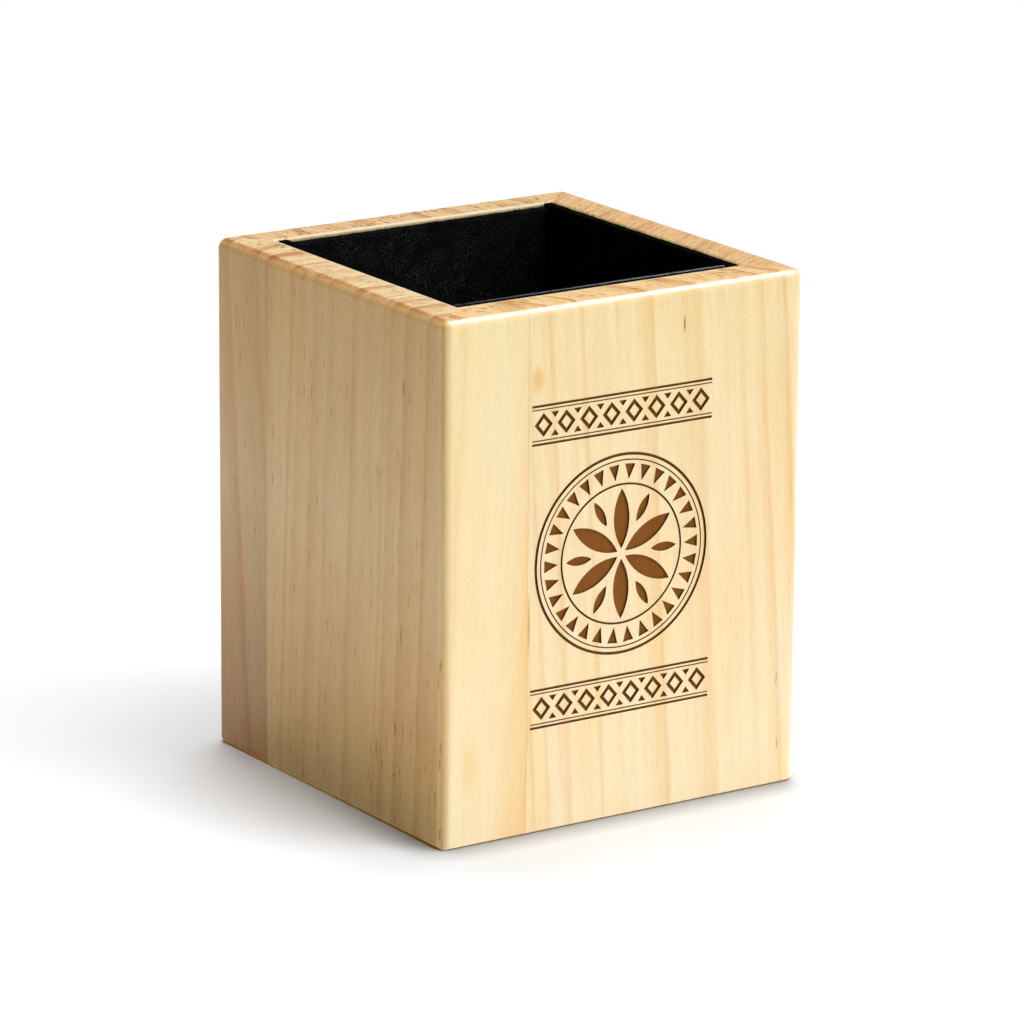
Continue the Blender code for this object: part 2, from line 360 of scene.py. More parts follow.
def smooth(piece):
    """Smooth shading that keeps flat faces flat and joints sharp."""
    piece.data.shade_smooth()
    piece.data.set_sharp_from_angle(angle=SHARP_FROM)
    weighted = piece.modifiers.new("flat_faces", "WEIGHTED_NORMAL")
    weighted.keep_sharp = True


def block(name, low, high):
    shape = bmesh.new()
    corners = [(low[0], low[1]), (high[0], low[1]), (high[0], high[1]), (low[0], high[1])]
    loft(shape, [[(x, y, z) for x, y in corners] for z in (low[2], high[2])])
    return place(name, mesh_of(shape, name))


# Staves and base

def well_ring(opened, z):
    """The well's outline where its arris has opened out by this share."""
    deep = WELL_HALF + ARRIS * opened
    right = WELL_HALF + ARRIS_RIGHT * opened
    return [(-deep, -deep, z), (right, -deep, z), (right, deep, z), (-deep, deep, z)]


def well_cutter():
    """The square well, which opens out at the rim in a small round."""
    rings = [well_ring(0, -BEYOND)]
    for flat in range(ARRIS_FLATS + 1):
        turn = QUARTER_TURN * flat / ARRIS_FLATS
        rings.append(well_ring(1 - math.cos(turn), RIM - ARRIS * (1 - math.sin(turn))))
    rings.append(well_ring(1, RIM + BEYOND))
    shape = bmesh.new()
    loft(shape, rings)
    return place("well", mesh_of(shape, "well"))


def cup_carcass():
    """The cup before it is parted into staves: a rounded block less its well and the rebate for the base."""
    carcass = block("carcass", (-HALF, -HALF, 0), (HALF, HALF, RIM))
    rounds = carcass.modifiers.new("rounded_edges", "BEVEL")
    rounds.width = EDGE_RADIUS
    rounds.segments = EDGE_FLATS
    rounds.limit_method = "WEIGHT"
    weights = carcass.data.attributes.new("bevel_weight_edge", "FLOAT", "EDGE")
    for edge in carcass.data.edges:
        at_foot = all(carcass.data.vertices[i].co.z == 0 for i in edge.vertices)
        weights.data[edge.index].value = FOOT_ROUND if at_foot else 1.0
    well = well_cutter()
    seat = BASE_HIGH + Vector((SEAT_GAP, SEAT_GAP, SEAT_GAP))
    rebate = block("rebate", (-seat.x, -seat.y, -BEYOND), seat)
    cut(carcass, well)
    cut(carcass, rebate)
    mesh = shaped(carcass)
    mesh.materials.clear()
    discard(carcass, well, rebate)
    return mesh


def stave_plan(width):
    """A stave of the front wall in plan: between the glue line and the mitre at its corner."""
    inner = WELL_HALF - INSIDE
    mitre = MITRE / math.sqrt(2)
    if width == "narrow":
        glue = GLUE_LINE - JOINT / 2
        return [(mitre - BEYOND, -BEYOND), (glue, -BEYOND), (glue, -inner), (mitre - inner, -inner)]
    glue = GLUE_LINE + JOINT / 2
    return [(glue, -BEYOND), (BEYOND - mitre, -BEYOND), (inner - mitre, -inner), (glue, -inner)]


def stave_mesh(carcass, width, finish, engraving=None):
    shape = bmesh.new()
    loft(shape, [[(x, y, z) for x, y in stave_plan(width)] for z in (-BEYOND, BEYOND)])
    plan = place("plan", mesh_of(shape, "plan"))
    stave = place("stave", carcass.copy())
    for blank in (plan, stave):
        blank.data.materials.append(finish)
    cut(stave, plan, "INTERSECT")
    if engraving:
        cut(stave, engraving)
    mesh = shaped(stave)
    discard(stave, plan)
    return mesh


def make_staves():
    carcass = cup_carcass()
    engraving = engraving_cutter()
    for quarter, side in enumerate(SIDES):
        for width in ("narrow", "wide"):
            engraved = engraving if (side, width) == ("front", "wide") else None
            board = BOARDS[f"{side}_{width}"]
            finish = pine(f"lacquered_pine_{side}_{width}", roughness=LACQUER_ROUGHNESS, **board)
            stave = place(f"{side}_{width}_pine", stave_mesh(carcass, width, finish, engraved))
            stave.rotation_euler.z = quarter * QUARTER_TURN
            smooth(stave)
            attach(stave, "root")
            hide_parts(f"{side}_{width}_stave")
    discard(engraving)


def make_base():
    """The base board, whose grain lies level: its block is made standing on end and then laid down."""
    low = (BASE_LOW.x, BASE_LOW.z, -BASE_HIGH.y)
    high = (BASE_HIGH.x, BASE_HIGH.z, -BASE_LOW.y)
    base = block("base_pine", low, high)
    base.rotation_euler.x = QUARTER_TURN
    eased = base.modifiers.new("eased_edges", "BEVEL")
    eased.width = BASE_EASE
    eased.segments = BASE_EASE_FLATS
    smooth(base)
    base.data.materials.append(pine("bare_pine_base", roughness=BARE_ROUGHNESS, **BOARDS["base"]))
    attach(base, "root")
    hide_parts("base_board")


# Engraving: each figure is an outline in the wall's plane, cut straight in

def on_wall(outline, y):
    return [(ENGRAVED_X + u, y, ENGRAVED_Z + v) for u, v in outline]


def cut_figure(shape, outline):
    loft(shape, [on_wall(outline, y) for y in (-HALF - ENGRAVED_DEPTH, -HALF + ENGRAVED_DEPTH)])


def cut_line(shape, outer, inner):
    """A closed line between two outlines with the same number of points."""
    rings = []
    for pair in zip(outer, inner):
        front, back = (on_wall(pair, y) for y in (-HALF - ENGRAVED_DEPTH, -HALF + ENGRAVED_DEPTH))
        rings.append([front[0], front[1], back[1], back[0]])
    loft(shape, rings, closed=True)


def turned(outline, angle):
    c, s = math.cos(angle), math.sin(angle)
    return [(u * c - v * s, u * s + v * c) for u, v in outline]


def circle(radius):
    turns = (2 * math.pi * i / CIRCLE_STEPS for i in range(CIRCLE_STEPS))
    return [(radius * math.cos(turn), radius * math.sin(turn)) for turn in turns]


def lens(start, end, half_width):
    """A pointed leaf along u, bounded by two arcs."""
    half = (end - start) / 2
    radius = (half * half + half_width * half_width) / (2 * half_width)
    reach = math.asin(half / radius)
    arc = []
    for i in range(ARC_STEPS):
        turn = reach * (2 * i / ARC_STEPS - 1)
        arc.append((start + half + radius * math.sin(turn), radius * (math.cos(turn) - 1) + half_width))
    return arc + [(start + end - u, -v) for u, v in arc]


def rosette(shape):
    for radius, line in ROSETTE_RINGS:
        cut_line(shape, circle(radius + line / 2), circle(radius - line / 2))
    for i in range(PETALS):
        turn = 2 * math.pi * i / PETALS
        cut_figure(shape, turned(lens(*PETAL), turn + QUARTER_TURN))
        cut_figure(shape, turned(lens(*LEAF), turn))
    start, end, half_width = RAY
    for i in range(RAYS):
        ray = [(start, 0), (end, -half_width), (end, half_width)]
        cut_figure(shape, turned(ray, 2 * math.pi * i / RAYS))


def border(shape, middle):
    """A row of lozenges and darts between ruled lines."""
    for rise, line in BORDER_RULES:
        for side in (-1, 1):
            low = middle + side * rise - line / 2
            high = middle + side * rise + line / 2
            rule = [(-BORDER_HALF, low), (BORDER_HALF, low), (BORDER_HALF, high), (-BORDER_HALF, high)]
            cut_figure(shape, rule)
    pitch = 2 * BORDER_HALF / LOZENGES
    across, up = LOZENGE
    corners = ((-across, 0), (0, -up), (across, 0), (0, up))
    for i in range(LOZENGES):
        u = pitch * (i + 0.5) - BORDER_HALF
        outer = [(u + a, middle + b) for a, b in corners]
        inner = [(u + a * LOZENGE_HOLE, middle + b * LOZENGE_HOLE) for a, b in corners]
        cut_line(shape, outer, inner)
    half_width, height = DART
    for i in range(1, LOZENGES):
        u = pitch * i - BORDER_HALF
        for side in (-1, 1):
            foot = middle + side * up
            cut_figure(shape, [(u - half_width, foot), (u + half_width, foot), (u, foot - side * height)])


def engraving_cutter():
    shape = bmesh.new()
    rosette(shape)
    border(shape, BORDER_RISE)
    border(shape, -BORDER_RISE)
    mesh = mesh_of(shape, "engraving")
    mesh.materials.append(burnt_pine())
    return place("engraving", mesh)


# Lining

def slab(name, low, high, pitch, edge):
    """The skin of a block as a lattice of even steps, with one close step along every edge to hold it."""
    lines = []
    for start, end in zip(low, high):
        count = max(1, round((end - start - 2 * edge) / pitch))
        step = (end - start - 2 * edge) / count
        lines.append([start, *(start + edge + step * i for i in range(count + 1)), end])
    shape = bmesh.new()
    verts = {}

    def vert(key):
        if key not in verts:
            verts[key] = shape.verts.new([line[i] for line, i in zip(lines, key)])
        return verts[key]

    for axis in range(3):
        u, v = [other for other in range(3) if other != axis]
        for end in (0, len(lines[axis]) - 1):
            for i in range(len(lines[u]) - 1):
                for j in range(len(lines[v]) - 1):
                    corners = []
                    for a, b in ((0, 0), (1, 0), (1, 1), (0, 1)):
                        key = [end, end, end]
                        key[u] = i + a
                        key[v] = j + b
                        corners.append(vert(tuple(key)))
                    shape.faces.new(corners)
    return mesh_of(shape, name)


def felt_rise(spot, low, high, way, drops):
    """How far the felt's cut edge stands above the frame's felt at a spot along the rim."""
    run = 0 if way.x == 0 else 1
    share = (spot[run] - low[run]) / (high[run] - low[run])
    corner = max(0.0, 1 - (high.y - spot.y) / FELT_CORNER) if run == 1 else 0.0
    uneven = FELT_FRAY * noise.noise(Vector((spot.x, spot.y, 0)) / FELT_FRAY_SPAN)
    return uneven + FELT_CORNER_LIFT * corner - drops[0] - (drops[1] - drops[0]) * share


def felt_sway(spot):
    return FELT_SWAY * noise.noise(spot / FELT_SWAY_SPAN)


def felt_mesh(name, low, high, way, drops):
    """A sheet of felt in the frame's place, with a softly swelling face and an uneven cut top edge."""
    mesh = slab(name, low, high, FELT_PITCH, FELT_EDGE)
    middle = (low + high) / 2
    half = abs((high - low).dot(way)) / 2
    for vertex in mesh.vertices:
        spot = vertex.co.copy()
        openness = max(0.0, (spot - middle).dot(way) / half)
        vertex.co += way * openness * felt_sway(spot)
        if way.z == 0:
            near_top = max(0.0, 1 - (high.z - spot.z) / FELT_TOP_BAND)
            vertex.co.z += near_top * felt_rise(spot, low, high, way, drops)
    return mesh


def any_way(rng):
    return Vector((rng.uniform(-1, 1), rng.uniform(-1, 1), rng.uniform(-1, 1)))


def fibre(shape, rng, root, way):
    """One stray fibre: a thin tapered hair that bends over."""
    reach = rng.uniform(*FIBRE_REACH)
    thick = rng.uniform(*FIBRE_THICKNESS)
    along = way.normalized()
    bend = any_way(rng)
    across = along.orthogonal().normalized()
    beside = along.cross(across)
    rings = []
    for share, width in FIBRE_TAPER:
        centre = root + along * reach * share + bend * reach * FIBRE_BEND * max(0.0, share) ** 2
        ring = []
        for i in range(FIBRE_SIDES):
            turn = 2 * math.pi * i / FIBRE_SIDES
            ring.append(centre + (across * math.cos(turn) + beside * math.sin(turn)) * thick * width)
        rings.append(ring)
    loft(shape, rings)


def sheet_axes(way):
    """The two axes that a sheet spans."""
    return [axis for axis in range(3) if way[axis] == 0]


def fibre_mesh(name, low, high, way, drops, rng):
    """The fibres that stand out of a felt's face and of its cut edge at the rim."""
    shape = bmesh.new()
    face = low + (high - low) * 0.5 + way * abs((high - low).dot(way)) / 2
    spans = sheet_axes(way)
    area = (high - low)[spans[0]] * (high - low)[spans[1]]
    for _ in range(round(area / MM / MM * FIBRES_PER_SQUARE_MM)):
        root = face.copy()
        for axis in spans:
            root[axis] = rng.uniform(low[axis], high[axis])
        root += way * felt_sway(root)
        lift = any_way(rng)
        fibre(shape, rng, root, way * FACE_STAND + lift)
    if way.z == 0:
        run = spans[0]
        for _ in range(round((high[run] - low[run]) / MM * FIBRES_PER_MM)):
            root = Vector([rng.uniform(a, b) for a, b in zip(low, high)])
            root.z = high.z + felt_rise(root, low, high, way, drops)
            aside = [rng.uniform(-EDGE_SPREAD, EDGE_SPREAD) for _ in range(2)]
            lift = Vector((*aside, rng.uniform(*EDGE_LIFT)))
            fibre(shape, rng, root, way * rng.uniform(*EDGE_STAND) + lift)
    return mesh_of(shape, name)


def make_lining():
    felt = black_felt()
    for seed, (node, (way, drops)) in enumerate(LINING.items()):
        side = node.removesuffix("_felt")
        low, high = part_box(node)
        sheet = place(f"{side}_lining", felt_mesh(f"{side}_lining", low, high, way, drops))
        rounding = sheet.modifiers.new("soft_edges", "SUBSURF")
        rounding.levels = 1
        rounding.render_levels = 1
        sheet.data.shade_smooth()
        hairs = fibre_mesh(f"{side}_fibres", low, high, way, drops, random.Random(seed))
        fibres = place(f"{side}_fibres", hairs)
        for piece in (sheet, fibres):
            piece.data.materials.append(felt)
            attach(piece, "root")
        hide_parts(node)


# Materials

def add(tree, kind, inputs=None, out=0, stops=None, **settings):
    """Adds a node with its settings, sets or links its inputs, and gives a colour ramp its stops. A hex code
    stands for its colour. Hands back the output that is asked for, or all of them for None."""
    made = tree.nodes.new("ShaderNode" + kind)
    for name, value in settings.items():
        setattr(made, name, value)
    for socket, value in (inputs or {}).items():
        if isinstance(value, bpy.types.NodeSocket):
            tree.links.new(value, made.inputs[socket])
        else:
            made.inputs[socket].default_value = hex_colour(value) if isinstance(value, str) else value
    if stops:
        elements = made.color_ramp.elements
        while len(elements) < len(stops):
            elements.new(1.0)
        for element, (position, colour) in zip(elements, stops):
            element.position = position
            element.color = colour
    return made.outputs if out is None else made.outputs[out]


def between(tree, value, rise, fall, top=1.0):
    """A band with soft edges: it rises to its top over one span of the value and falls over another."""
    risen = add(tree, "MapRange", {"Value": value, "From Min": rise[0], "From Max": rise[1], "To Max": top})
    return add(tree, "MapRange", {"Value": value, "From Min": fall[1], "From Max": fall[0], "To Max": risen})


def weighed(tree, start, *parts):
    """A start with each part added to it, times its weight."""
    for part, weight in parts:
        start = add(tree, "Math", {0: part, 1: weight, 2: start}, operation="MULTIPLY_ADD")
    return start


def new_material(name):
    material = bpy.data.materials.new(name)
    material.use_nodes = True
    tree = material.node_tree
    return material, tree, tree.nodes["Principled BSDF"]


def surface(tree):
    """A point of the piece in mm and the way that its surface faces there, in the piece's own coordinates."""
    spot = add(tree, "TexCoord", out=None)
    point = add(tree, "VectorMath", {0: spot["Object"], "Scale": 1 / MM}, operation="SCALE")
    return point, spot["Normal"]


def ring_stops(rings, grows):
    """Ramp stops for a row of rings. Along its growth each ring darkens slowly and ends at once."""
    stops = []
    for (start, start_dark), (end, end_dark) in zip(rings, rings[1:]):
        if grows > 0:
            stops += [(start + RING_EDGE, 0.0), (end, end_dark)]
        else:
            stops += [(start, start_dark), (end - RING_EDGE, 0.0)]
    return [((at - RING_FROM) / RING_SPAN, (dark, dark, dark, 1.0)) for at, dark in stops]


def streaks(tree, grain, width, length, seed):
    """Noise drawn out along the grain: streaks of about this width and length, in mm."""
    size = (1 / width, 1 / width, 1 / length)
    spot = add(tree, "VectorMath", {0: grain, 1: size, 2: (seed, -seed, seed)}, operation="MULTIPLY_ADD")
    return add(tree, "TexNoise", {"Vector": spot, "Scale": 1.0, "Detail": 2.0}, out="Fac")


def growth_rings(tree, wandered, fibres, rings, grows):
    """How far a point lies towards a ring's late wood, from 0 to 1. Fibres fray the rings' edges."""
    frayed = weighed(tree, wandered, (fibres, RING_FRAY))
    start = RING_FROM + (RING_WANDER + RING_FRAY) / 2
    share = add(tree, "MapRange", {"Value": frayed, "From Min": start, "From Max": start + RING_SPAN})
    ring = add(tree, "ValToRGB", {0: share}, out="Color", stops=ring_stops(rings, grows))
    return add(tree, "Math", {0: ring, 1: LATE_WOOD_CURVE}, operation="POWER")


def dashes(tree, along, down, size, seed, core, radius, where, limits):
    """Dashes scattered over a plane, one to a cell of this size in mm, where a noise is above its limits."""
    cells = (1 / size[0], 1 / size[1], 0)
    plane = add(tree, "CombineXYZ", {0: along, 1: down})
    spot = add(tree, "VectorMath", {0: plane, 1: cells, 2: (seed, seed, seed)}, operation="MULTIPLY_ADD")
    away = add(tree, "TexVoronoi", {"Vector": spot, "Scale": 1.0}, out="Distance", voronoi_dimensions="2D")
    dash = add(tree, "MapRange", {"Value": away, "From Min": radius, "From Max": core})
    here = add(tree, "MapRange", {"Value": where, "From Min": limits[0], "From Max": limits[1]})
    return add(tree, "Math", {0: dash, 1: here}, operation="MULTIPLY")


def mark(tree, point, x, z, half_width, half_length, strength):
    """How strongly a single stroke or patch on a face of the board shows."""
    size = (1 / half_width, 0, 1 / half_length)
    middle = (-x / half_width, 0, -z / half_length)
    spot = add(tree, "VectorMath", {0: point, 1: size, 2: middle}, operation="MULTIPLY_ADD")
    away = add(tree, "VectorMath", {0: spot}, out="Value", operation="LENGTH")
    return add(tree, "MapRange", {"Value": away, "From Min": 1.0, "From Max": MARK_CORE, "To Max": strength})


def tone_and_painted_light(tree, wood, grain, height, tint_and_light_by_height, grit, seed):
    """The board's colour changes from foot to top, partly its own tone and partly painted light and shade,
    with honey patches and reddish streaks.
    """
    tone = streaks(tree, grain, TONE_WIDTH, TONE_LENGTH, -seed)
    honey = add(tree, "MapRange", {"Value": tone, "From Min": HONEY_WHERE[0], "From Max": HONEY_WHERE[1]})
    wood = add(tree, "Mix", {0: honey, MIX_A: wood, MIX_B: HONEY_TINT}, **TINTED)
    blush = streaks(tree, grain, BLUSH_WIDTH, BLUSH_LENGTH, -seed)
    low, high = BLUSH_WHERE
    blush = add(
        tree, "MapRange", {"Value": blush, "From Min": low, "From Max": high, "To Max": BLUSH_SHADE * grit})
    wood = add(tree, "Mix", {0: blush, MIX_A: wood, MIX_B: BLUSH_TINT}, **TINTED)
    # painted light and shade: the front boards grow paler towards the foot, the left boards warmer at foot
    # and top
    share = add(tree, "MapRange", {"Value": height, "From Max": RIM_MM})
    tints = [(at, hex_colour(tint)) for at, tint in zip(TINT_AND_LIGHT_AT, tint_and_light_by_height)]
    tint = add(tree, "ValToRGB", {0: share}, out="Color", stops=tints)
    return add(tree, "Mix", {0: 1.0, MIX_A: wood, MIX_B: tint}, **TINTED)


def sanded(tree, wood, point, fibres, grit):
    """Fibres and the tooth that sanding leaves, darker and lighter than the wood."""
    tooth = add(tree, "TexNoise", {"Vector": point, "Scale": 1 / TOOTH, "Detail": 1.0}, out="Fac")
    even = -(FIBRE_SHADE + TOOTH_SHADE) * grit / 2
    texture = weighed(tree, even, (fibres, FIBRE_SHADE * grit), (tooth, TOOTH_SHADE * grit))
    return add(tree, "Mix", {0: texture, MIX_A: wood, MIX_B: GRIT_TINT}, **TINTED, clamp_factor=False)


def resin_strokes(tree, wood, point, across, height, flecks, canals, marks, seed):
    """Resin canals, in some stretches more than in others, and single marks. Gives the wood, where its canals
    lie, and where any stroke does."""
    canal = dashes(tree, across, height, CANAL_CELL, seed, CANAL_CORE, CANAL_RADIUS, flecks, CANAL_WHERE)
    canal = add(tree, "Math", {0: canal, 1: canals}, operation="MULTIPLY")
    wood = add(tree, "Mix", {0: canal, MIX_A: wood, MIX_B: CANAL_BROWN}, **MIXED)
    stroke = canal
    for *spot_and_size, colour in marks:
        share = mark(tree, point, *spot_and_size)
        wood = add(tree, "Mix", {0: share, MIX_A: wood, MIX_B: colour}, **MIXED)
        stroke = add(tree, "Math", {0: stroke, 1: share}, operation="MAXIMUM")
    return wood, canal, stroke


def soaked_below_rim(tree, wood, grain, height, seed):
    low, high = SOAKED_WHERE
    soaked = streaks(tree, grain, SOAKED_WIDTH, RIM_MM, -seed)
    soaked = add(
        tree, "MapRange", {"Value": soaked, "From Min": low, "From Max": high, "To Max": SOAKED_DEPTH})
    soaked = add(
        tree, "MapRange",
        {"Value": height, "From Min": RIM_MM - SOAKED_LENGTH, "From Max": RIM_MM, "To Max": soaked})
    return add(tree, "Mix", {0: soaked, MIX_A: wood, MIX_B: SOAKED_TINT}, **TINTED)


def end_grain(tree, wood, point, across, axes, up, late, line, end, pores, seed):
    """End grain, told from how far up it faces. Gives the wood, where its ends lie, and its pores."""
    on_top = add(tree, "MapRange", {"Value": up, "From Min": TOP_FACING[0], "From Max": TOP_FACING[1]})
    below = add(tree, "MapRange", {"Value": up, "From Min": FOOT_FACING[0], "From Max": FOOT_FACING[1]})
    on_end = add(tree, "Math", {0: on_top, 1: below}, operation="MAXIMUM")
    wood = add(tree, "Mix", {0: on_end, MIX_A: wood, MIX_B: end}, **MIXED)
    plan = add(tree, "CombineXYZ", {0: across, 1: axes[2], 2: axes[1]})
    mottle = streaks(tree, plan, END_MOTTLE_WIDTH, END_MOTTLE_LENGTH, seed)
    dark = weighed(tree, -END_MOTTLE / 2, (late, END_LATE), (line, END_LINE), (mottle, END_MOTTLE))
    dark = add(tree, "Math", {0: dark, 1: on_end}, operation="MULTIPLY", use_clamp=True)
    wood = add(tree, "Mix", {0: dark, MIX_A: wood, MIX_B: END_DARK_TINT}, **TINTED)
    clusters = add(tree, "TexNoise", {"Vector": point, "Scale": 1 / PORE_CLUSTER, "Detail": 1.0}, out="Fac")
    pore = dashes(tree, across, axes[1], PORE_CELL, -seed, PORE_CORE, PORE_RADIUS, clusters, PORE_WHERE)
    low, high = PORE_FACING
    flat_top = add(tree, "MapRange", {"Value": up, "From Min": low, "From Max": high, "To Max": pores})
    pore = add(tree, "Math", {0: pore, 1: flat_top}, operation="MULTIPLY")
    wood = add(tree, "Mix", {0: pore, MIX_A: wood, MIX_B: PORE_BROWN}, **MIXED)
    return wood, on_end, pore


def worn_edges_and_painted_light(tree, wood, point, axes, faces, edge, arris):
    """Rounded edges: the ends in dabs; the left upright in a warm line, partly the finish and partly painted
    shade; and an arris along the well that is bare, partly a painted highlight. Gives the wood and where it
    is bare."""
    dab = add(tree, "TexNoise", {"Vector": point, "Scale": 1 / EDGE_DAB, "Detail": 3.0}, out="Fac")
    low, high = EDGE_DAB_WHERE
    dab = add(tree, "MapRange", {"Value": dab, "From Min": low, "From Max": high, "To Min": EDGE_DAB_LEAST})
    rounded = between(tree, faces[2], EDGE_RISE, EDGE_FALL, dab)
    wood = add(tree, "Mix", {0: rounded, MIX_A: wood, MIX_B: edge}, **TINTED)
    # partly painted shade: the rounds that face left are drawn warmer
    leftward = add(tree, "Math", {0: faces[0], 1: -1.0}, operation="MULTIPLY")
    upright = between(tree, leftward, UPRIGHT_RISE, UPRIGHT_FALL, UPRIGHT_TINT_SHARE)
    wood = add(tree, "Mix", {0: upright, MIX_A: wood, MIX_B: UPRIGHT_TINT}, **TINTED)
    # partly a painted highlight: the bare arris along the well takes its own tint
    inner = (WELL_HALF + ARRIS) / MM
    low, high = -inner - ARRIS_WEAR, -inner - ARRIS_WEAR / 2
    bare = add(tree, "MapRange", {"Value": axes[1], "From Min": low, "From Max": high, "To Max": arris})
    low, high = (RIM_MM - depth for depth in ARRIS_DEPTH)
    bare = add(tree, "MapRange", {"Value": axes[2], "From Min": low, "From Max": high, "To Max": bare})
    wood = add(tree, "Mix", {0: bare, MIX_A: wood, MIX_B: ARRIS_TINT_AND_HIGHLIGHT}, **MIXED)
    return wood, bare


def sheen(tree, shader, roughness, fibres, on_end, bare, canal, stroke, pore):
    """Duller on the ends and where the arris is bare, none in open canals and pores, and broken by fibres."""
    dull = weighed(tree, roughness, (on_end, END_DULLNESS), (fibres, FIBRE_DULLNESS), (bare, ARRIS_DULLNESS))
    tree.links.new(dull, shader.inputs["Roughness"])
    opened = add(tree, "Math", {0: stroke, 1: pore}, operation="MAXIMUM")
    shine = add(tree, "MapRange", {"Value": opened, "To Min": SHINE, "To Max": 0.0})
    tree.links.new(shine, shader.inputs["Specular IOR Level"])
    relief = weighed(tree, fibres, (canal, DASH_RELIEF), (pore, DASH_RELIEF))
    bump = add(
        tree, "Bump", {"Strength": GRAIN_RELIEF_STRENGTH, "Distance": GRAIN_RELIEF, "Height": relief})
    tree.links.new(bump, shader.inputs["Normal"])
    shader.inputs["IOR"].default_value = LACQUER_IOR


def pine(name, rings, grows, lean, slant, pale, dark, end, tint_and_light_by_height, canals, pores, grit, seed, marks, roughness,
         edge=EDGE_TINT, arris=1.0):
    """Plantation pine, planed and sanded, under a satin lacquer. Soft bands of early and late wood run
    through the whole board, resin canals show as short brown strokes on its faces, and the end grain drinks
    the finish: it turns a deeper, mottled tan with close ring lines and dark pores. Rounded ends are sanded
    through in dabs."""
    material, tree, shader = new_material(name)
    point, normal = surface(tree)
    axes = add(tree, "SeparateXYZ", {0: point}, out=None)
    faces = add(tree, "SeparateXYZ", {0: normal}, out=None)

    # Where a point lies across the rings, in mm from the wall's left edge at mid height
    across = add(tree, "VectorMath", {0: point, 1: (1.0, slant, lean)}, out="Value", operation="DOT_PRODUCT")
    left_edge = HALF / MM * (1 + slant) - RIM_MM / 2 * lean
    across = add(tree, "Math", {0: across, 1: left_edge})
    grain = add(tree, "CombineXYZ", {0: across, 1: axes[1], 2: axes[2]})
    wander = streaks(tree, grain, RING_WANDER_WIDTH, RING_WANDER_LENGTH, seed)
    wandered = weighed(tree, across, (wander, RING_WANDER))

    # Early and late wood, with fine lines and flecks
    fibres = streaks(tree, grain, FIBRE_WIDTH, FIBRE_LENGTH, seed)
    flecks = streaks(tree, grain, FLECK_WIDTH, FLECK_LENGTH, seed)
    late = growth_rings(tree, wandered, fibres, rings, grows)
    line = weighed(tree, wandered, (flecks, LINE_WANDER))
    line = add(tree, "Math", {0: line, 1: LINE_SPACING / 2}, operation="PINGPONG")
    line = add(tree, "Math", {0: line, 1: 2 / LINE_SPACING}, operation="MULTIPLY")
    shade = weighed(tree, late, (line, LINE_SHADE), (flecks, FLECK_SHADE))
    shade = add(tree, "Math", {0: shade, 1: (LINE_SHADE + FLECK_SHADE) / 2}, operation="SUBTRACT")
    wood = add(tree, "Mix", {0: shade, MIX_A: pale, MIX_B: dark}, **MIXED, clamp_factor=False)

    wood = tone_and_painted_light(tree, wood, grain, axes[2], tint_and_light_by_height, grit, seed)
    wood = sanded(tree, wood, point, fibres, grit)
    wood, canal, stroke = resin_strokes(tree, wood, point, across, axes[2], flecks, canals, marks, seed)
    wood = soaked_below_rim(tree, wood, grain, axes[2], seed)
    wood, on_end, pore = end_grain(tree, wood, point, across, axes, faces[2], late, line, end, pores, seed)
    wood, bare = worn_edges_and_painted_light(tree, wood, point, axes, faces, edge, arris)
    tree.links.new(wood, shader.inputs["Base Color"])
    sheen(tree, shader, roughness, fibres, on_end, bare, canal, stroke, pore)
    return material


def burnt_pine():
    """Pine burnt by an engraving beam. The floor of the cut is an even tobacco brown with the beam's passes
    across it, and its steep sides are darker: partly charring and partly painted shade."""
    material, tree, shader = new_material("beam_burnt_pine")
    point, normal = surface(tree)
    waves = {"Vector": point, "Scale": WAVE_LENGTH / BEAM_PASS, "Distortion": BEAM_WAVER}
    passes = add(tree, "TexWave", waves, out="Fac", bands_direction="Z")
    fibres = streaks(tree, point, FLECK_WIDTH, FLECK_LENGTH, BURNT_SEED)
    burn = weighed(tree, fibres, (passes, BEAM_SHADE))
    browns = list(zip(BURNT_AT, (hex_colour(BURNT_DARK), hex_colour(BURNT_LIGHT))))
    brown = add(tree, "ValToRGB", {0: burn}, out="Color", stops=browns)
    faces = add(tree, "SeparateXYZ", {0: normal}, out=None)
    # partly painted shade: the cut's steep sides are drawn darker
    low, high = CHARRED_AND_SHADED_FACING
    side = add(tree, "MapRange", {"Value": faces[1], "From Min": low, "From Max": high})
    brown = add(tree, "Mix", {0: side, MIX_A: brown, MIX_B: CHARRED_AND_SHADED}, **MIXED)
    tree.links.new(brown, shader.inputs["Base Color"])
    bump = add(tree, "Bump", {"Strength": BURNT_RELIEF_STRENGTH, "Distance": GRAIN_RELIEF, "Height": burn})
    tree.links.new(bump, shader.inputs["Normal"])
    shader.inputs["Roughness"].default_value = BURNT_ROUGHNESS
    shader.inputs["Specular IOR Level"].default_value = BURNT_SHINE
    return material


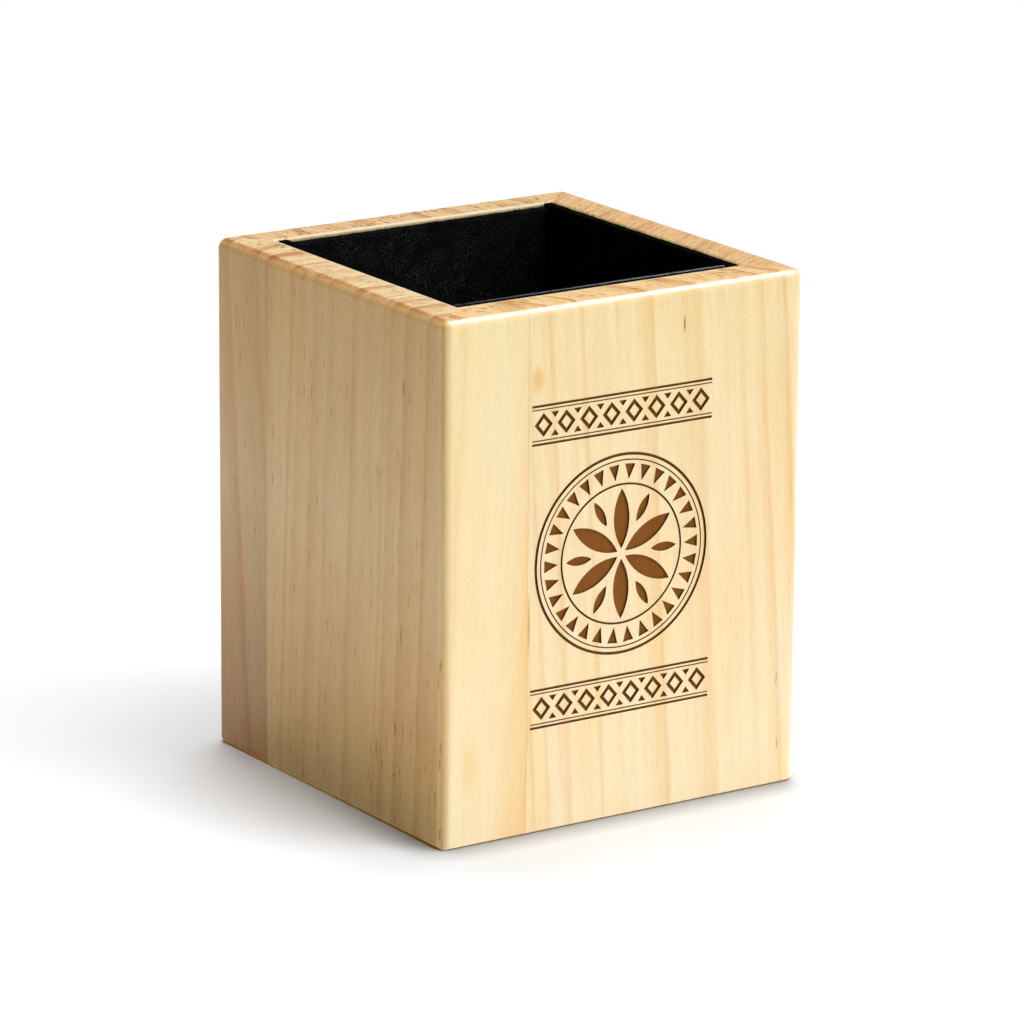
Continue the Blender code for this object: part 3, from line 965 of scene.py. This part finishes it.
def black_felt():
    """Black needle felt. It drinks nearly all light and single fibres glint as grey specks. A grey line along
    its front edge at the rim is a painted highlight; further down the well the felt is drawn brighter,
    painted light, and its cut edge at the rim darker, painted shade."""
    material, tree, shader = new_material("black_needle_felt")
    point, _ = surface(tree)
    pile = add(tree, "TexNoise", {"Vector": point, "Scale": 1 / FELT_FIBRE, "Detail": 3.0}, out="Fac")
    matted = add(tree, "TexNoise", {"Vector": point, "Scale": 1 / FELT_MAT, "Detail": 2.0}, out="Fac")
    shades = [hex_colour(shade) for shade in (FELT_BLACK, FELT_GREY, FELT_GLINT)]
    specks = add(tree, "ValToRGB", {0: pile}, out="Color", stops=list(zip(FELT_AT, shades)))
    low, high = MAT_WHERE
    patch = add(tree, "MapRange", {"Value": matted, "From Min": low, "From Max": high, "To Min": MAT_LEAST})
    black = add(tree, "Mix", {0: patch, MIX_A: FELT_BLACK, MIX_B: specks}, **MIXED)
    axes = add(tree, "SeparateXYZ", {0: point}, out=None)
    from_rim = add(tree, "Math", {0: axes[2], 1: RIM_MM}, operation="SUBTRACT")
    # painted highlight: a grey line along the front felt's inner top edge
    edge_highlight = between(tree, axes[0], *EDGE_HIGHLIGHT_ALONG)
    edge_highlight = between(tree, axes[1], *EDGE_HIGHLIGHT_ACROSS, edge_highlight)
    edge_highlight = between(tree, from_rim, *EDGE_HIGHLIGHT_UP, edge_highlight)
    # painted light: the felt is drawn brighter further down the well
    deeper = add(
        tree, "MapRange",
        {"Value": axes[2], "From Min": RIM_MM - FELT_LIGHT_REACH, "From Max": RIM_MM, "To Min": FELT_DEEP_LIGHT})
    # painted shade: the felt's cut edge at the rim is drawn darker
    low, high = (RIM_MM - depth for depth in CUT_DEPTH)
    painted_light_and_shade = add(
        tree, "MapRange",
        {"Value": axes[2], "From Min": low, "From Max": high, "To Min": deeper, "To Max": CUT_EDGE_SHADE})
    black = add(tree, "VectorMath", {0: black, "Scale": painted_light_and_shade}, operation="SCALE")
    black = add(tree, "Mix", {0: edge_highlight, MIX_A: black, MIX_B: FELT_EDGE_HIGHLIGHT}, **MIXED)
    tree.links.new(black, shader.inputs["Base Color"])
    nap = weighed(tree, pile, (matted, MAT_RELIEF))
    bump = add(tree, "Bump", {"Strength": FELT_RELIEF_STRENGTH, "Distance": FELT_RELIEF, "Height": nap})
    tree.links.new(bump, shader.inputs["Normal"])
    shader.inputs["Roughness"].default_value = FELT_ROUGHNESS
    shader.inputs["Specular IOR Level"].default_value = FELT_SHINE
    return material


def white_paper():
    """Matt white background paper. The camera sees it white, with a close shadow round the cup's foot. Beside
    the
    left foot it throws less light back: painted shade, which darkens the cup's foot."""
    material, tree, shader = new_material("white_paper")
    seen = add(tree, "LightPath", out="Is Camera Ray")
    spot = add(tree, "NewGeometry", out="Position")
    side, depth, _ = add(tree, "SeparateXYZ", {0: spot}, out=None)
    far, near = ([-HALF - reach for reach in reaches] for reaches in (FOOT_FAR, FOOT_NEAR))
    shaded = between(tree, side, far, near)
    shaded = between(tree, depth, (-HALF - FOOT_END, -HALF), (HALF, HALF + FOOT_END), shaded)
    # painted shade: beside the left foot the paper throws back less light
    bounce = add(tree, "Mix", {0: shaded, MIX_A: FLOOR_BOUNCE, MIX_B: FOOT_BOUNCE}, **MIXED)
    white = add(tree, "Mix", {0: seen, MIX_A: bounce, MIX_B: FLOOR_WHITE}, **MIXED)
    close = add(tree, "AmbientOcclusion", {"Color": white, "Distance": CONTACT}, out="Color", samples=8)
    forward = add(
        tree, "MapRange",
        {"Value": depth, "From Min": CONTACT_FROM, "From Max": CONTACT_FULL, "To Max": seen})
    white = add(tree, "Mix", {0: forward, MIX_A: white, MIX_B: close}, **MIXED)
    tree.links.new(white, shader.inputs["Base Color"])
    shader.inputs["Roughness"].default_value = 1.0
    shader.inputs["Specular IOR Level"].default_value = 0.0
    return material


# Studio

def make_floor():
    """A sheet of paper under the cup, which lets the lamps below it shine through."""
    shape = bmesh.new()
    corners = ((-1, -1), (1, -1), (1, 1), (-1, 1))
    shape.faces.new([shape.verts.new((x * FLOOR_HALF, y * FLOOR_HALF, 0.0)) for x, y in corners])
    mesh = bpy.data.meshes.new("floor")
    shape.to_mesh(mesh)
    shape.free()
    floor = place("floor", mesh)
    mesh.materials.append(white_paper())
    floor.visible_shadow = False


def light_studio():
    for name, (way, strength, width, lights, gleams) in LAMPS.items():
        lamp = bpy.data.lights.new(name, "SUN")
        lamp.energy = strength * math.pi
        lamp.angle = math.radians(width)
        sun = bpy.data.objects.new(name, lamp)
        sun.visible_diffuse = lights
        sun.visible_glossy = gleams
        sun.rotation_mode = "QUATERNION"
        sun.rotation_quaternion = Vector(way).to_track_quat("Z", "Y")
        bpy.context.scene.collection.objects.link(sun)
    world = bpy.data.worlds.new("studio")
    world.use_nodes = True
    bpy.context.scene.world = world
    tree = world.node_tree
    ray = add(tree, "LightPath", out=None)
    way = add(tree, "TexCoord", out="Generated")
    _, _, height = add(tree, "SeparateXYZ", {0: way}, out=None)
    glow = add(tree, "MapRange", {"Value": height, "From Max": SKY_FROM, "To Min": HORIZON, "To Max": SKY})
    strength = weighed(tree, ray["Is Camera Ray"], (ray["Is Glossy Ray"], glow))
    backdrop = tree.nodes["Background"]
    backdrop.inputs["Color"].default_value = (1.0, 1.0, 1.0, 1.0)
    tree.links.new(strength, backdrop.inputs["Strength"])


def make_camera():
    data = bpy.data.cameras.new("camera")
    data.lens = LENS
    data.sensor_width = SENSOR
    camera = bpy.data.objects.new("camera", data)
    bpy.context.scene.collection.objects.link(camera)
    facing = (
        Matrix.Rotation(CAMERA_TURN, 4, "Z")
        @ Matrix.Rotation(QUARTER_TURN - CAMERA_RISE, 4, "X")
        @ Matrix.Rotation(CAMERA_ROLL, 4, "Z"))
    camera.matrix_world = facing @ Matrix.Translation(CAMERA_PLACE)
    bpy.context.scene.camera = camera


make_camera()
make_staves()
make_base()
make_lining()
make_floor()
light_studio()
bpy.context.scene.view_settings.view_transform = "Standard"
